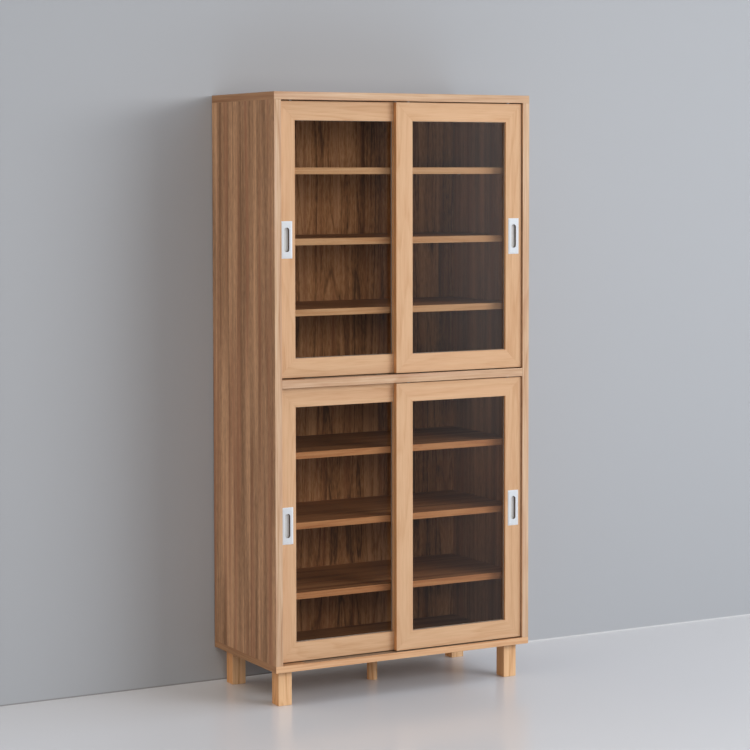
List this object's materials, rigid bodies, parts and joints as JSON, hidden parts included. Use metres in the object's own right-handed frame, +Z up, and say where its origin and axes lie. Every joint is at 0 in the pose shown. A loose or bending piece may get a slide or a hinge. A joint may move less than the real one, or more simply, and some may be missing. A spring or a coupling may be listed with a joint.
{
  "type": "kitchen_cabinet",
  "caption": "Tall mizuya kitchen cabinet in light wood with two tiers of smoked glass sliding doors, loose shelves, flush metal pulls and short legs.",
  "frame": {"origin": "on the floor, under the middle of the cabinet's box", "axes": "+X to the right, seen from in front of the doors, which slide along it; +Y from the doors to the back panel; +Z up, from the feet to the top panel"},
  "size_m": [0.87, 0.43, 1.8],
  "materials": {
    "carcass_wood": "clear lacquer over cherry-toned veneer",
    "door_wood": "clear lacquer over cherry-toned wood",
    "shelf_wood": "clear lacquer over cherry-toned veneer",
    "back_wood": "dark veneered board",
    "leg_wood": "clear lacquer over solid wood",
    "smoked_glass": "smoked float glass",
    "gasket": "soft grey vinyl",
    "pull_metal": "satin",
    "steel": "zinc plated",
    "track": "extruded brown vinyl",
    "wheel_plastic": "moulded acetal"
  },
  "bodies": {
    "carcass": {"side_panel_left": "carcass_wood", "side_panel_right": "carcass_wood", "top_panel": "carcass_wood", "middle_panel": "carcass_wood", "bottom_panel": "carcass_wood", "back_panel": "back_wood", "shelf_lower_low": "shelf_wood", "shelf_lower_middle": "shelf_wood", "shelf_lower_high": "shelf_wood", "shelf_upper_low": "shelf_wood", "shelf_upper_middle": "shelf_wood", "shelf_upper_high": "shelf_wood", "leg_front_left": "leg_wood", "leg_front_right": "leg_wood", "leg_back_left": "leg_wood", "leg_back_right": "leg_wood", "leg_centre": "leg_wood", "shelf_pins": "steel", "door_tracks": "track", "leg_bolts": "steel"},
    "lower_left_door": {"lower_left_stile_left": "door_wood", "lower_left_stile_right": "door_wood", "lower_left_rail_top": "door_wood", "lower_left_rail_bottom": "door_wood", "lower_left_glass": "smoked_glass", "lower_left_gasket": "gasket", "lower_left_pull": "pull_metal", "lower_left_fittings": "steel"},
    "lower_left_wheel_left_turning": {"lower_left_wheel_left": "wheel_plastic"},
    "lower_left_wheel_right_turning": {"lower_left_wheel_right": "wheel_plastic"},
    "lower_right_door": {"lower_right_stile_left": "door_wood", "lower_right_stile_right": "door_wood", "lower_right_rail_top": "door_wood", "lower_right_rail_bottom": "door_wood", "lower_right_glass": "smoked_glass", "lower_right_gasket": "gasket", "lower_right_pull": "pull_metal", "lower_right_fittings": "steel"},
    "lower_right_wheel_left_turning": {"lower_right_wheel_left": "wheel_plastic"},
    "lower_right_wheel_right_turning": {"lower_right_wheel_right": "wheel_plastic"},
    "upper_left_door": {"upper_left_stile_left": "door_wood", "upper_left_stile_right": "door_wood", "upper_left_rail_top": "door_wood", "upper_left_rail_bottom": "door_wood", "upper_left_glass": "smoked_glass", "upper_left_gasket": "gasket", "upper_left_pull": "pull_metal", "upper_left_fittings": "steel"},
    "upper_left_wheel_left_turning": {"upper_left_wheel_left": "wheel_plastic"},
    "upper_left_wheel_right_turning": {"upper_left_wheel_right": "wheel_plastic"},
    "upper_right_door": {"upper_right_stile_left": "door_wood", "upper_right_stile_right": "door_wood", "upper_right_rail_top": "door_wood", "upper_right_rail_bottom": "door_wood", "upper_right_glass": "smoked_glass", "upper_right_gasket": "gasket", "upper_right_pull": "pull_metal", "upper_right_fittings": "steel"},
    "upper_right_wheel_left_turning": {"upper_right_wheel_left": "wheel_plastic"},
    "upper_right_wheel_right_turning": {"upper_right_wheel_right": "wheel_plastic"}
  },
  "joints": [
    {"name": "lower_left_slide", "type": "slide", "parent": "carcass", "child": "lower_left_door", "axis": [1, 0, 0], "range_m": [0, 0.383]},
    {"name": "lower_left_wheel_left_roll", "type": "hinge", "parent": "lower_left_door", "child": "lower_left_wheel_left_turning", "pos_m": [-0.311, -0.18, 0.1323], "axis": [0, 1, 0], "continuous": true},
    {"name": "lower_left_wheel_right_roll", "type": "hinge", "parent": "lower_left_door", "child": "lower_left_wheel_right_turning", "pos_m": [-0.072, -0.18, 0.1323], "axis": [0, 1, 0], "continuous": true},
    {"name": "lower_right_slide", "type": "slide", "parent": "carcass", "child": "lower_right_door", "axis": [1, 0, 0], "range_m": [-0.383, 0]},
    {"name": "lower_right_wheel_left_roll", "type": "hinge", "parent": "lower_right_door", "child": "lower_right_wheel_left_turning", "pos_m": [0.072, -0.199, 0.1323], "axis": [0, 1, 0], "continuous": true},
    {"name": "lower_right_wheel_right_roll", "type": "hinge", "parent": "lower_right_door", "child": "lower_right_wheel_right_turning", "pos_m": [0.311, -0.199, 0.1323], "axis": [0, 1, 0], "continuous": true},
    {"name": "upper_left_slide", "type": "slide", "parent": "carcass", "child": "upper_left_door", "axis": [1, 0, 0], "range_m": [0, 0.383]},
    {"name": "upper_left_wheel_left_roll", "type": "hinge", "parent": "upper_left_door", "child": "upper_left_wheel_left_turning", "pos_m": [-0.311, -0.18, 0.9703], "axis": [0, 1, 0], "continuous": true},
    {"name": "upper_left_wheel_right_roll", "type": "hinge", "parent": "upper_left_door", "child": "upper_left_wheel_right_turning", "pos_m": [-0.072, -0.18, 0.9703], "axis": [0, 1, 0], "continuous": true},
    {"name": "upper_right_slide", "type": "slide", "parent": "carcass", "child": "upper_right_door", "axis": [1, 0, 0], "range_m": [-0.383, 0]},
    {"name": "upper_right_wheel_left_roll", "type": "hinge", "parent": "upper_right_door", "child": "upper_right_wheel_left_turning", "pos_m": [0.072, -0.199, 0.9703], "axis": [0, 1, 0], "continuous": true},
    {"name": "upper_right_wheel_right_roll", "type": "hinge", "parent": "upper_right_door", "child": "upper_right_wheel_right_turning", "pos_m": [0.311, -0.199, 0.9703], "axis": [0, 1, 0], "continuous": true}
  ],
  "couplings": [
    {"joint": "lower_left_wheel_left_roll", "follows": "lower_left_slide", "rad_per_m": 83.333},
    {"joint": "lower_left_wheel_right_roll", "follows": "lower_left_slide", "rad_per_m": 83.333},
    {"joint": "lower_right_wheel_left_roll", "follows": "lower_right_slide", "rad_per_m": 83.333},
    {"joint": "lower_right_wheel_right_roll", "follows": "lower_right_slide", "rad_per_m": 83.333},
    {"joint": "upper_left_wheel_left_roll", "follows": "upper_left_slide", "rad_per_m": 83.333},
    {"joint": "upper_left_wheel_right_roll", "follows": "upper_left_slide", "rad_per_m": 83.333},
    {"joint": "upper_right_wheel_left_roll", "follows": "upper_right_slide", "rad_per_m": 83.333},
    {"joint": "upper_right_wheel_right_roll", "follows": "upper_right_slide", "rad_per_m": 83.333}
  ]
}
